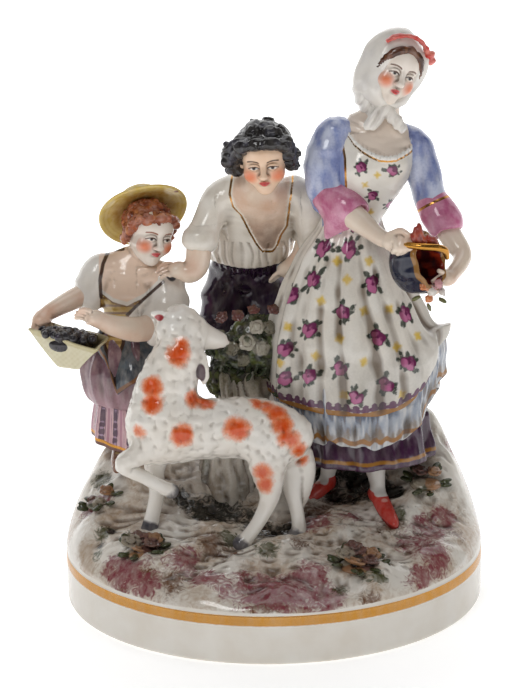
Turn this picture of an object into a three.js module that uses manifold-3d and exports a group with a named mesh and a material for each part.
// Porcelain figure group on an oval rock mound: a young woman, a boy leaning forward, a small girl and a lamb.
// The figures are luted to the mound and fired with it, so the whole group is one solid.
// Millimetres. X runs to the viewer's right, Y away from the viewer and Z up from the underside of the base.
import * as THREE from "three";
import { mergeVertices } from "three/addons/utils/BufferGeometryUtils.js";
import Module from "manifold-3d";

const wasm = await Module();
wasm.setup();

// The base: an oval footed band with a rounded lip, and the mound that swells out of it.
const BASE_WIDTH = 165;
const BASE_DEPTH = 148;
const BAND_HEIGHT = 18;
const LIP_HEIGHT = 1.2;
const FRONT_RISE = 15;
const BACK_RISE = 40;
const VENT_RADIUS = 5;
const VENT_DEPTH = 9;

// Where each figure stands or is carried, and its main heights above the table.
const WOMAN_HEM = { x: 34, y: 4, z: 56 };
const WOMAN_HEAD = { x: 46.5, y: -2, z: 204.5 };
const BOY_HIPS = { x: -9, y: 33, z: 115 };
const BOY_HEAD = { x: -1.5, y: -7, z: 173 };
const GIRL_HEM = { x: -56, y: 13, z: 57 };
const GIRL_HEAD = { x: -46, y: 6, z: 143 };
const LAMB_CHEST = { x: -44, y: -27, z: 77 };
const LAMB_RUMP = { x: 0, y: -24, z: 74 };
const LAMB_HEAD = { x: -32, y: -20, z: 110 };

const HALF_WIDTH = BASE_WIDTH / 2;
const HALF_DEPTH = BASE_DEPTH / 2;
const RIM = BAND_HEIGHT + LIP_HEIGHT;

// Small maths.
const radians = (degrees) => (degrees * Math.PI) / 180;
const bell = (distance, width) => Math.exp(-0.5 * (distance / width) ** 2);
const ease = (from, to, value) => THREE.MathUtils.smoothstep(value, from, to);

// A closed geometry as a solid that can be joined and cut.
function solid(geometry) {
  const bare = geometry.clone();
  bare.deleteAttribute("normal");
  bare.deleteAttribute("uv");
  const merged = mergeVertices(bare, 1e-4);
  return new wasm.Manifold(
    new wasm.Mesh({
      numProp: 3,
      vertProperties: merged.attributes.position.array,
      triVerts: Uint32Array.from(merged.index.array),
    }),
  );
}

// Moves every vertex of a geometry by a function of its position.
function reshape(geometry, move) {
  const position = geometry.attributes.position;
  const point = new THREE.Vector3();
  for (let i = 0; i < position.count; i++) {
    point.fromBufferAttribute(position, i);
    move(point);
    position.setXYZ(i, point.x, point.y, point.z);
  }
  return geometry;
}

// A limb or trunk: an oval section carried through stations of [x, y, z, radius, second radius].
// The first radius lies across the line and level with it, the second towards the reference direction.
function limb(stations, sides = 6, reference = new THREE.Vector3(0, 1, 0)) {
  const last = stations.length - 1;
  const centres = stations.map(([x, y, z]) => new THREE.Vector3(x, y, z));
  const frames = centres.map((centre, i) => {
    const ahead = centres[Math.min(i + 1, last)];
    const behind = centres[Math.max(i - 1, 0)];
    const along = ahead.clone().sub(behind).normalize();
    const side = along.clone().cross(reference).normalize();
    return { side, front: side.clone().cross(along) };
  });
  return solid(
    reshape(new THREE.CylinderGeometry(1, 1, 1, sides, last), (p) => {
      const i = Math.round((p.y + 0.5) * last);
      const [, , , radius, depth = radius] = stations[i];
      const across = frames[i].side.clone().multiplyScalar(p.x * radius);
      const out = frames[i].front.clone().multiplyScalar(p.z * depth);
      p.copy(centres[i]).add(across).add(out);
    }),
  );
}

// An ellipsoid, turned by degrees about X, Y and Z.
function ball([x, y, z], radii, turn = [0, 0, 0], sides = 6, rows = 5) {
  const geometry = new THREE.SphereGeometry(1, sides, rows);
  geometry.rotateX(Math.PI / 2);
  geometry.scale(...(Array.isArray(radii) ? radii : [radii, radii, radii]));
  turn.forEach((angle, i) => geometry[["rotateX", "rotateY", "rotateZ"][i]](radians(angle)));
  geometry.translate(x, y, z);
  return solid(geometry);
}

// A small pointed or lumpy form with few faces: a leaf, a curl, a fold end.
function nub([x, y, z], radii, turn = [0, 0, 0], detail = 0) {
  const geometry = new THREE.OctahedronGeometry(1, detail);
  geometry.scale(...radii);
  turn.forEach((angle, i) => geometry[["rotateX", "rotateY", "rotateZ"][i]](radians(angle)));
  geometry.translate(x, y, z);
  return solid(geometry);
}

// Cloth hanging round the body: oval rows of [x, y, z, width, depth, fold, lift] gathered into a number of folds.
// The fold is how far the cloth swings in and out, and the lift how far the hem rises and falls with it.
function skirt(rows, folds, sides = 40) {
  const last = rows.length - 1;
  return solid(
    reshape(new THREE.CylinderGeometry(1, 1, 1, sides, last), (p) => {
      const [x, y, z, width, depth, fold = 0, lift = 0] = rows[Math.round((0.5 - p.y) * last)];
      const edge = Math.hypot(p.x, p.z) > 0.5 ? 1 : 0;
      const angle = Math.atan2(p.z, p.x);
      const wave = Math.cos(folds * angle) + 0.5 * Math.cos((folds - 4) * angle + 1);
      const swell = 1 + (edge * fold * wave) / width;
      p.set(x + p.x * width * swell, y - p.z * depth * swell, z + edge * lift * wave);
    }),
  );
}

// A head of curls: a ball whose faces are pushed in and out by turns.
function curly([x, y, z], radii, lump, sides = 14, rows = 9) {
  const geometry = new THREE.SphereGeometry(1, sides, rows);
  geometry.rotateX(Math.PI / 2);
  reshape(geometry, (p) => {
    const column = Math.round((Math.atan2(p.y, p.x) / (2 * Math.PI)) * sides);
    const row = Math.round((Math.acos(THREE.MathUtils.clamp(p.z, -1, 1)) / Math.PI) * rows);
    const pole = Math.abs(p.z) > 0.99;
    const push = pole ? 1 : 1 + (lump / radii[0]) * ((column + row) % 2 === 0 ? 1 : -1);
    p.multiplyScalar(push);
  });
  geometry.scale(...radii);
  geometry.translate(x, y, z);
  return solid(geometry);
}

const join = (solids) => solids.reduce((whole, piece) => whole.add(piece));

// The height of the mound: a low dome in front, a hill behind, rocks to either side,
// and hollows under the woman's hem, at her forward shoe and under the lamb.
function ground(x, y) {
  const reach = Math.min(1, Math.hypot(x / HALF_WIDTH, y / HALF_DEPTH));
  const dome = Math.sqrt(1 - reach ** 2);
  const edge = Math.min(1, 2 * dome);
  const hill = FRONT_RISE + (BACK_RISE - FRONT_RISE) * ease(-35, 35, y) + 16 * (x / HALF_WIDTH) ** 2;
  const rightRock = 21 * bell(Math.hypot(x - 60, y - 22), 15);
  const leftRock = 7 * bell(Math.hypot(x + 62, y - 20), 14);
  const underHem = 11 * bell(Math.hypot((x - 28) / 18, (y - 2) / 12), 1);
  const atShoe = 3 * bell(Math.hypot(x - 46, y + 24), 8);
  const underLamb = 6 * bell(Math.hypot((x + 14) / 14, (y + 8) / 10), 1);
  const lumps = 1.2 * Math.sin(x / 9 + 1) * Math.cos(y / 7) + 0.8 * Math.sin((x - y) / 5);
  return RIM + hill * dome + edge * (rightRock + leftRock - underHem - atShoe - underLamb + lumps);
}

function mound() {
  const shares = [0.97, 0.89, 0.76, 0.6, 0.36];
  const profile = [
    [0, 0],
    [HALF_WIDTH - 1, 0],
    [HALF_WIDTH, 1],
    [HALF_WIDTH, BAND_HEIGHT],
    [HALF_WIDTH - 0.8, RIM],
    ...shares.map((share) => [share * HALF_WIDTH, RIM + 5]),
    [0, RIM + 5],
  ];
  const geometry = new THREE.LatheGeometry(
    profile.map(([r, h]) => new THREE.Vector2(r, h)),
    28,
  );
  geometry.rotateX(Math.PI / 2);
  geometry.scale(1, HALF_DEPTH / HALF_WIDTH, 1);
  reshape(geometry, (p) => {
    if (p.z > RIM + 1) p.z = ground(p.x, p.y);
  });
  const vent = new THREE.CylinderGeometry(VENT_RADIUS, VENT_RADIUS, 2 * VENT_DEPTH, 8);
  vent.rotateX(Math.PI / 2);
  vent.translate(-25, 10, 0);
  return solid(geometry).subtract(solid(vent));
}

// The tree stump that props the group behind the lamb, with a broken branch to either side.
function stump() {
  return join([
    limb([
      [-18, 6, 30, 15, 12],
      [-17, 6, 48, 12, 11],
      [-14, 6, 66, 10, 10],
      [-8, 8, 88, 9.5, 9],
      [-5, 9, 99, 6, 6],
    ], 9),
    limb([[-12, 4, 70, 5], [-16, 1, 80, 4.4], [-18, -1, 88, 2]], 6),
    limb([[-4, 8, 62, 6], [6, 4, 73, 5], [11, 2, 80, 4]], 6),
  ]);
}

// A modelled flower: a shallow cup of five petals.
function blossom([x, y, z], radius, turn = [0, 0, 0]) {
  const cup = [
    [0, -0.6],
    [1, 0.4],
    [0, 0.1],
  ].map(([r, h]) => new THREE.Vector2(r * radius, h * radius));
  const geometry = new THREE.LatheGeometry(cup, 10);
  geometry.rotateX(Math.PI / 2);
  reshape(geometry, (p) => {
    const petal = 1 + 0.15 * Math.cos(5 * Math.atan2(p.y, p.x));
    p.x *= petal;
    p.y *= petal;
  });
  turn.forEach((angle, i) => geometry[["rotateX", "rotateY", "rotateZ"][i]](radians(angle)));
  geometry.translate(x, y, z);
  return solid(geometry);
}

// A posy on the mound: blossoms of given radii side by side, with leaves laid round them.
function posy(x, y, radii, leaves, spread) {
  const pieces = radii.map((radius, i) => {
    const angle = (2 * Math.PI * i) / radii.length + 0.6;
    const px = x + spread * Math.cos(angle);
    const py = y + spread * 0.8 * Math.sin(angle);
    return blossom([px, py, ground(px, py) + 0.35 * radius], radius, [30 * Math.sign(-y), 0, 0]);
  });
  for (let i = 0; i < leaves; i++) {
    const angle = (360 * i) / leaves + 95;
    const px = x + (spread + 4.5) * Math.cos(radians(angle));
    const py = y + (spread + 3.5) * Math.sin(radians(angle));
    pieces.push(nub([px, py, ground(px, py) + 0.6], [4.6, 2.2, 1.8], [0, 0, angle]));
  }
  return join(pieces);
}

// The bush that covers the top of the stump, in front of the boy's knees, and the moss to its right.
function bush() {
  return join([
    curly([-3, 4, 97], [12.5, 10, 15], 1.6, 8, 6),
    blossom([-8.5, -4.6, 101], 5.6, [62, 0, 0]),
    blossom([3, -2.6, 105.5], 5, [55, 0, 25]),
    blossom([-8.5, -0.5, 110], 4.8, [40, 0, -20]),
    nub([13, -2, 82], [7, 4.6, 5], [0, 10, 0]),
    nub([20, -5, 79], [6, 4.4, 4.4], [0, -20, 0]),
  ]);
}

function flowers() {
  return join([
    bush(),
    posy(-49, -40, [4, 3.8, 4], 3, 4.8),
    posy(34, -49, [4.2, 4.4, 4.2], 3, 5.2),
    posy(61, -6, [3, 3], 3, 3.4),
    posy(-68, -8, [3.4], 3, 1),
    posy(22, 58, [4], 3, 1),
  ]);
}

// The woman's dress: an underskirt, a ruffled skirt, an apron over both and a tight bodice.
function womanDress() {
  const hem = WOMAN_HEM.z;
  return join([
    skirt([[35, 5, 72, 26, 21], [36, 4, hem, 27.5, 22.5, 1.1], [36, 4, hem + 3, 20, 16]], 7, 21),
    skirt(
      [
        [33, 5, 90, 30, 23.5],
        [34, 5, 76, 33.2, 26.2, 1],
        [35, 5, 65, 31, 25.5, 1.3, 1.2],
        [35, 5, 69, 25, 20],
      ],
      7,
      21,
    ),
    skirt(
      [
        [31.5, 1, 150, 11.5, 9],
        [30, 2, 139, 17.5, 15, 0.5],
        [30, 3, 123, 25, 20, 0.8],
        [32, 4.5, 103, 32.6, 25.5, 1],
        [33.5, 5, 87, 35.4, 28, 1.1],
        [33.5, 5, 77, 34.6, 28, 1.2, 1],
        [33.5, 5, 82, 26, 20],
      ],
      7,
      28,
    ),
    limb(
      [
        [31, 1, 142, 13.5, 11],
        [31.5, 0, 149, 11.8, 9.5],
        [34, -0.5, 158, 12.3, 9.8],
        [38, -2, 168, 14.8, 11],
        [40.5, -1.5, 175, 16, 10.5],
        [40, 0, 182, 13.5, 8],
        [43.5, 0.5, 187, 5.6, 5.4],
      ],
      8,
    ),
  ]);
}

function womanHead() {
  const { x, y, z } = WOMAN_HEAD;
  const tilt = [0, 15, 0];
  const hood = ball([x - 1, y + 2.4, z + 2], [13.6, 11.6, 15.4], tilt, 9, 6);
  const opening = ball([x + 2.8, y - 12, z - 2], [9.6, 9, 12.6], tilt, 7, 4);
  return join([
    limb([[43.5, 0, 182, 6], [44.5, 0, 192, 5], [46, -1, 200, 5]]),
    ball([x + 0.6, y - 1.5, z - 1], [8.3, 9.1, 11.3], tilt, 8, 6),
    nub([x + 2, y - 10.6, z - 2], [1.4, 1.8, 2.4], tilt),
    hood.subtract(opening),
    // The drape down the nape, then the knot under the chin and the two ends below it.
    limb([
      [x - 8, y + 3, z - 1, 5, 7],
      [x - 9, y + 3, z - 10, 4.4, 7],
      [x - 7, y + 2, z - 18, 3.4, 6],
    ], 6),
    nub([x - 3.6, y - 4.6, z - 13.5], [5.4, 3.6, 3.6], [0, 20, 0]),
    limb([[x - 2, y - 5, z - 14, 3, 2], [x - 6.5, y - 5.5, z - 20.5, 2.4, 1.4]], 5),
    limb([[x - 2, y - 5, z - 14, 2.6, 2], [x + 5, y - 6, z - 20, 2.2, 1.4]], 5),
    nub([x + 8, y - 1, z + 12], [4.2, 3.4, 3.6], [0, 30, 0]),
  ]);
}

function womanArms() {
  return join([
    limb([
      [31, 0, 185, 4, 6],
      [22, -0.5, 181, 8.2, 8],
      [19.5, -1.5, 168, 8.4, 8],
      [21.5, -3, 157, 7.6, 7.6],
    ]),
    ball([25, -5.5, 153.5], [9.6, 7.6, 7], [0, -18, 0], 8, 5),
    limb([[29, -8, 149, 5, 5], [26, -7, 146, 3.8, 4], [23.5, -6.5, 142.5, 1.2, 1.4]], 6),
    limb([[27, -7, 155, 5.4], [33, -15, 151, 5.2], [40, -24, 147, 4], [43, -28, 145.5, 3.6]]),
    ball([46, -31.5, 143.6], [5, 3.8, 4], [0, 20, -30], 6, 4),
    limb([[47, -32.5, 143.5, 2.8], [51, -34.5, 144, 2.6], [54, -35, 143, 1.4]], 5),
    limb([[50, 1, 181, 4.5, 6], [56, 1, 176, 6.2, 7], [59, 0, 166, 6.2, 7], [62, -3, 156, 6.4, 6.8]]),
    limb([
      [61.5, -2, 158, 6.4, 6.4],
      [62.5, -3, 156, 8, 8],
      [66, -5, 148, 8, 7.6],
      [66.5, -5.5, 146, 6.4, 6.4],
    ]),
    limb([
      [65.5, -5, 149, 5.2],
      [69, -9, 142, 5],
      [72.5, -13, 136.5, 4.2],
      [71.5, -17.5, 133, 3.7],
      [67, -23.5, 129.5, 3.8],
      [62, -27.5, 127.5, 3],
    ]),
    limb([[65, -25.5, 129, 3], [61, -29.5, 128.5, 2.8], [58, -31.5, 128, 1.4]], 5),
  ]);
}

// The pouch in her hands: an open cup with a rolled rim, a ribbon above and blossoms at its lip.
function pouch() {
  const wall = [
    [0, -11],
    [6, -9.5],
    [9, -4],
    [9.8, 4],
    [9, 5.6],
    [7.6, 4.4],
    [6.8, -3],
    [0, -7],
  ].map(([r, h]) => new THREE.Vector2(r, h));
  const cup = new THREE.LatheGeometry(wall, 10);
  cup.rotateX(Math.PI / 2).scale(0.88, 1.12, 1);
  cup.rotateX(radians(70)).rotateZ(radians(22)).translate(54.5, -29, 138.5);
  return join([
    solid(cup),
    limb([[53.5, -33.5, 147, 2.2], [52.5, -33, 150.5, 2.4], [51, -33, 153, 1]], 5),
    blossom([59.5, -36.5, 129.5], 4, [70, 0, 20]),
    blossom([54.5, -37, 128], 3.4, [70, 0, 10]),
  ]);
}

// A stockinged leg below the hem, and its shoe from heel to toe.
function leg(stations, heel, toe) {
  const along = (share, lift) => heel.map((v, i) => v + share * (toe[i] - v) + (i === 2 ? lift : 0));
  const shoe = [
    [...along(-0.12, 0.6), 2.2, 2.2],
    [...along(0.15, 0.8), 3.4, 3.4],
    [...along(0.6, 0), 2.8, 3.8],
    [...along(1.04, -0.5), 1.4, 2],
  ];
  return limb(stations, 6).add(limb(shoe, 6, new THREE.Vector3(0, 0, 1)));
}

function womanLegs() {
  return join([
    leg([
      [37, 0, 66, 5],
      [40, -3, 53, 4.4],
      [41.5, -6, 44, 3.2],
      [41.5, -6, 39, 3.2],
    ], [40, -5, 41], [47, -24, 34.5]),
    leg([
      [26, 4, 66, 5],
      [23.5, 5, 53, 4.2],
      [22, 5, 44, 3.2],
      [22, 5, 40, 3.2],
    ], [23, 5, 42], [14, -3, 37.5]),
  ]);
}

// The boy leans out over the stump: breeches and legs behind, shirt and head coming forward.
function boyBody() {
  const { x, y, z } = BOY_HIPS;
  const legs = [-1, 1].map((side) =>
    limb(
      [
        [x + side * 7, y + 1, z + 2, 9.5, 10],
        [x + side * 9, y - 2, z - 7, 10, 10],
        [x + side * 9.8, y - 4, z - 19, 7.6, 7.8],
        [x + side * 9, y - 1, z - 24, 5, 5],
        [x + side * 8.4, y + 3.5, z - 38, 4.6, 5],
        [x + side * 8, y + 3, z - 62, 3, 3.4],
      ],
    ),
  );
  const shoes = [-1, 1].map((side) =>
    limb(
      [
        [x + side * 8, y + 7, z - 58, 2.4, 2.4],
        [x + side * 8.3, y + 1, z - 57.5, 3.4, 3.4],
        [x + side * 9, y - 7, z - 59, 3, 2.6],
        [x + side * 9.3, y - 11, z - 60, 1.6, 1.4],
      ],
      6,
      new THREE.Vector3(0, 0, 1),
    ),
  );
  return join([
    ...legs,
    ...shoes,
    limb([
      [x, y + 4, z - 2, 9, 7],
      [x + 0.5, y + 2, z + 4, 14.5, 10.5],
      [x + 1, y - 5, z + 14, 13.5, 10],
    ], 8),
    limb(
      [
        [x + 1.5, y - 3, z + 11, 14.6, 11],
        [x + 2, y - 6, z + 16, 15.6, 11.5],
        [x + 3, y - 13, z + 26, 16, 11.5],
        [x + 4, y - 21, z + 37, 17, 10.5],
        [x + 5, y - 27, z + 44, 14, 8],
        [x + 6, y - 33, z + 49, 6.6, 6],
        [x + 7, y - 38, z + 54, 5.4, 5.4],
      ],
      8,
    ),
  ]);
}

function boyArms() {
  return join([
    limb([
      [-14, 9, 160, 5, 6],
      [-19, 8, 157, 6.4, 7.2],
      [-24, 5, 149, 7.2, 7.4],
      [-26.5, 1.5, 141, 7.2, 7],
    ]),
    ball([-26.8, 1, 140.5], [7.8, 7.2, 4], [0, 8, 0], 8, 5),
    limb([[-26.5, 1, 140, 4.8], [-27.5, 0, 132, 4.9], [-31, -1, 130, 4.4], [-35, 0, 131.4, 3.2]]),
    ball([-38, 0.5, 132], [4.2, 3.4, 2.6], [0, 15, 0]),
    limb([
      [10, 9, 159, 6, 7],
      [14, 8, 155, 6.6, 7.2],
      [16, 10, 146, 6.8, 7],
      [16.5, 12, 140, 6.4, 6.6],
    ]),
    limb([[16, 12, 142, 4.8], [13, 14, 132, 4.4], [7, 17, 126, 3.8], [3, 19, 124, 3.2]], 6),
  ]);
}

function boyHead() {
  const { x, y, z } = BOY_HEAD;
  const nod = [14, 0, 0];
  return join([
    ball([x, y, z], [8.9, 9.5, 11.7], nod, 8, 6),
    nub([x, y - 9.6, z - 2.6], [1.4, 1.7, 2.2], nod),
    limb([[x, y + 3, z - 5, 5.4], [x - 1, y + 10, z - 12, 5.6]]),
    curly([x + 0.5, y + 3, z + 5.5], [12.4, 10.8, 10.8], 1.2, 10, 6),
    curly([x - 10.4, y + 2.5, z - 0.5], [4.2, 5.4, 6], 0.5, 6, 4),
    curly([x + 10.6, y + 2.5, z], [4, 5.4, 6], 0.5, 6, 4),
  ]);
}

// The girl: a gathered striped skirt, a bunched overskirt and a tight bodice.
function girlBody() {
  const { x, y, z } = GIRL_HEM;
  return join([
    skirt(
      [
        [x - 0.5, y, z + 22, 13, 12],
        [x + 0.5, y, z, 15.8, 14.5, 1],
        [x + 0.5, y, z + 3, 10, 9],
      ],
      7,
      21,
    ),
    skirt(
      [
        [x - 1, y - 0.5, z + 48, 9, 8],
        [x - 1.5, y - 0.5, z + 41, 15, 13, 0.6],
        [x - 2, y - 0.5, z + 31, 17.8, 15.6, 0.8],
        [x - 0.5, y - 0.5, z + 17, 15.8, 14.6, 1, 1],
        [x, y - 0.5, z + 21, 10, 9],
      ],
      6,
      22,
    ),
    limb(
      [
        [x - 1, y - 1, z + 42, 10, 8.8],
        [x - 0.5, y - 1, z + 48, 9.4, 7.8],
        [x + 1, y - 1.5, z + 57, 10.5, 8.6],
        [x + 2, y - 2, z + 66, 12.6, 9],
        [x + 3.5, y - 1.5, z + 73, 11.6, 7],
        [x + 5, y - 2, z + 77, 5.6, 5],
        [x + 7, y - 3, z + 83, 4.6, 4.6],
      ],
      8,
    ),
    leg([
      [x - 4, y - 4, z + 5, 3.4],
      [x - 4.5, y - 6, z - 2, 3],
    ], [x - 4.5, y - 4, z - 2.6], [x - 5, y - 19, z - 4]),
    leg([
      [x + 8, y - 3, z + 5, 3.4],
      [x + 8, y - 5, z - 2, 3],
    ], [x + 8, y - 3, z - 2.6], [x + 9, y - 19, z - 5]),
  ]);
}

function girlArms() {
  return join([
    limb([
      [-62, 11, 131, 4.5, 6],
      [-68, 10.5, 130.5, 6.4, 6.8],
      [-72.5, 9, 125, 6.6, 6.8],
      [-74, 8, 121.5, 5.6, 5.6],
    ]),
    limb([[-72, 9, 124, 4.4], [-79, 4, 120.5, 4.4], [-85, -2, 117, 3.5], [-88, -5.5, 115, 3]], 6),
    ball([-88.5, -8, 112.5], [3.6, 3.2, 4]),
    limb([
      [-46, 9, 127, 5, 6.5],
      [-40, 8, 123.5, 7, 7.4],
      [-39.5, 3, 113.5, 7.8, 7.6],
      [-45, -3, 108, 7, 7],
    ], 8),
    limb([
      [-43, -1, 109.5, 5.2],
      [-52, -8, 109.5, 5],
      [-60, -13, 112.5, 4.2],
      [-67, -16.5, 117, 3.4],
    ], 7),
    limb([[-65, -15.5, 115, 3.6], [-69, -17, 119, 3.6], [-72.5, -18, 121, 1.6]], 6),
  ]);
}

// The straw box she carries: a tapering tray with its mouth to the back, and the fruit heaped in it.
function girlBox() {
  const tray = (inset) => {
    const corner = {
      rim: [[-92, -12], [-65, -23], [-84, -3], [-62, -9]],
      foot: [[-81, -15], [-73, -19], [-79, -6], [-71, -9]],
    };
    return reshape(new THREE.BoxGeometry(1, 1, 1), (p) => {
      const i = (p.x > 0 ? 1 : 0) + (p.y > 0 ? 2 : 0);
      const [x, y] = corner[p.z > 0 ? "rim" : "foot"][i];
      const high = 111.5 + 0.12 * (y + 12) - 0.17 * (x + 92);
      const z = p.z > 0 ? high + 2 * inset : 97 + 1.6 * inset;
      p.set(x + (-77 - x) * 0.16 * inset, y + (-12 - y) * 0.2 * inset, z);
    });
  };
  const fruit = [];
  for (let i = 0; i < 6; i++) {
    const row = i % 2;
    fruit.push(nub([-83 + 2.6 * i, -12 - 3 * row, 108.5 - 0.5 * i + row], [4, 4, 5], [0, 0, 20 * i]));
  }
  return join([solid(tray(0)).subtract(solid(tray(1))), ...fruit]);
}

function girlHead() {
  const { x, y, z } = GIRL_HEAD;
  const lean = [8, 12, 34];
  const straw = [
    [0, 1.4],
    [9.5, 1],
    [16.6, -0.6],
    [17.2, 0.4],
    [10, 3],
    [8.6, 8],
    [0, 9.4],
  ].map(([r, h]) => new THREE.Vector2(r, h));
  const hat = new THREE.LatheGeometry(straw, 12);
  hat.rotateX(radians(90)).rotateX(radians(-54)).rotateY(radians(-12)).translate(x - 2, y + 5.5, z + 6.5);
  return join([
    ball([x, y, z], [8.5, 8.9, 10.5], lean, 8, 6),
    nub([x + 4.6, y - 8, z - 2], [1.3, 1.6, 1.9], [0, 0, 34]),
    limb([[x - 1, y + 1, z - 5, 4.8], [x - 4, y + 3, z - 13, 5]]),
    curly([x - 1.6, y + 2.4, z + 3.4], [9.6, 8.8, 9], 1, 10, 6),
    curly([x - 9, y - 0.5, z - 2.5], [3, 3.6, 4.4], 0.4, 6, 4),
    solid(hat),
  ]);
}

// The lamb steps to the left with one foreleg lifted and its head turned back.
function lamb() {
  const c = LAMB_CHEST;
  const r = LAMB_RUMP;
  const h = LAMB_HEAD;
  const hind = (y, bend, foot) =>
    limb(
      [
        [r.x - 3, y, r.z - 2, 9, 5.5],
        [r.x - 1.5 + bend, y, r.z - 14, 6.6, 4.6],
        [r.x - 1 + bend, y, r.z - 24, 3.6, 3.2],
        [(r.x + bend + foot[0]) / 2, y, (r.z - 24 + foot[2]) / 2, 2.9, 2.9],
        [foot[0], foot[1], foot[2] + 2, 3.1, 3],
        [foot[0] - 1.5, foot[1] - 0.5, foot[2] - 4, 4, 3.6],
      ],
      6,
    );
  return join([
    limb(
      [
        [c.x - 5, c.y - 1, c.z + 3, 7, 5],
        [c.x - 1, c.y - 1, c.z + 1, 12, 9.5],
        [c.x + 7, c.y - 1, c.z - 0.5, 12.6, 10],
        [c.x + 20, c.y, c.z - 1.5, 11.8, 9.6],
        [r.x - 6, r.y, r.z + 0.5, 11.8, 9.6],
        [r.x + 6, r.y, r.z - 3, 10, 8.4],
        [r.x + 10, r.y, r.z - 5, 6, 5],
      ],
      7,
    ),
    limb(
      [
        [c.x + 4, c.y, c.z - 5, 11, 9],
        [c.x + 3, c.y, c.z + 7, 12, 9.6],
        [c.x + 5.5, c.y + 1, c.z + 18, 11, 9],
        [c.x + 9.5, c.y + 3, c.z + 28, 9.2, 8.6],
        [h.x - 1.5, h.y, h.z + 4, 8, 8],
        [h.x - 3, h.y + 1, h.z + 9, 5, 6],
      ],
      7,
    ),
    limb(
      [
        [h.x - 6, h.y - 1, h.z + 3, 7, 7],
        [h.x + 1, h.y, h.z + 1, 7.4, 7.4],
        [h.x + 7, h.y + 2, h.z - 1.5, 5, 5.2],
        [h.x + 12, h.y + 4, h.z - 3, 3.6, 4],
        [h.x + 14.5, h.y + 5, h.z - 4, 1.8, 2],
      ],
      7,
    ),
    limb([
      [c.x + 1, c.y + 1, c.z - 6, 6, 6],
      [-47.5, -25, 61, 4, 4.2],
      [-46.5, -24.5, 50, 3.1],
      [-47.5, -24, 40, 3.3],
      [-48.5, -24.5, 32, 3.8],
    ], 6),
    limb([
      [c.x, c.y - 5, c.z - 6, 6.4, 5],
      [-52, -34, 67, 4, 4],
      [-56, -35, 64, 3.6, 3.6],
      [-49, -33, 58.5, 2.8, 2.8],
      [-39, -29, 51.5, 2.8, 3],
    ], 6),
    hind(-32, 0, [-11.5, -33, 34]),
    hind(-20, 8, [11, -26, 34.5]),
    limb([
      [r.x + 4, r.y + 1, r.z + 5, 3.4],
      [r.x + 9, r.y + 1, r.z - 4, 4.2],
      [r.x + 11.5, r.y + 2, r.z - 20, 4.4],
      [r.x + 8.5, r.y + 1, r.z - 35, 1.8],
    ], 6),
    nub([h.x - 9.5, h.y - 2, h.z + 9], [4.2, 2, 2.6], [0, 20, 0]),
    limb([
      [h.x + 4, h.y - 5, h.z - 1, 2],
      [h.x + 6.5, h.y - 6, h.z - 8, 2.8, 2],
      [h.x + 6, h.y - 5.5, h.z - 15, 1.4, 1],
    ], 5),
  ]);
}

const group = new THREE.Group();
group.name = "porcelain_figure_group";

const porcelain = new THREE.MeshStandardMaterial({ color: 0xf2efe8, roughness: 0.18, metalness: 0 });

// The joined solid as one mesh.
function figureGroup() {
  const whole = join([
    mound(),
    stump(),
    flowers(),
    womanDress(),
    womanHead(),
    womanArms(),
    womanLegs(),
    pouch(),
    boyBody(),
    boyArms(),
    boyHead(),
    girlBody(),
    girlArms(),
    girlHead(),
    girlBox(),
    lamb(),
  ]).getMesh();
  const geometry = new THREE.BufferGeometry();
  geometry.setAttribute("position", new THREE.BufferAttribute(whole.vertProperties, whole.numProp));
  geometry.setIndex(new THREE.BufferAttribute(whole.triVerts, 1));
  geometry.computeVertexNormals();
  const mesh = new THREE.Mesh(geometry, porcelain);
  mesh.name = "figure_group";
  return mesh;
}

group.add(figureGroup());

export default group;
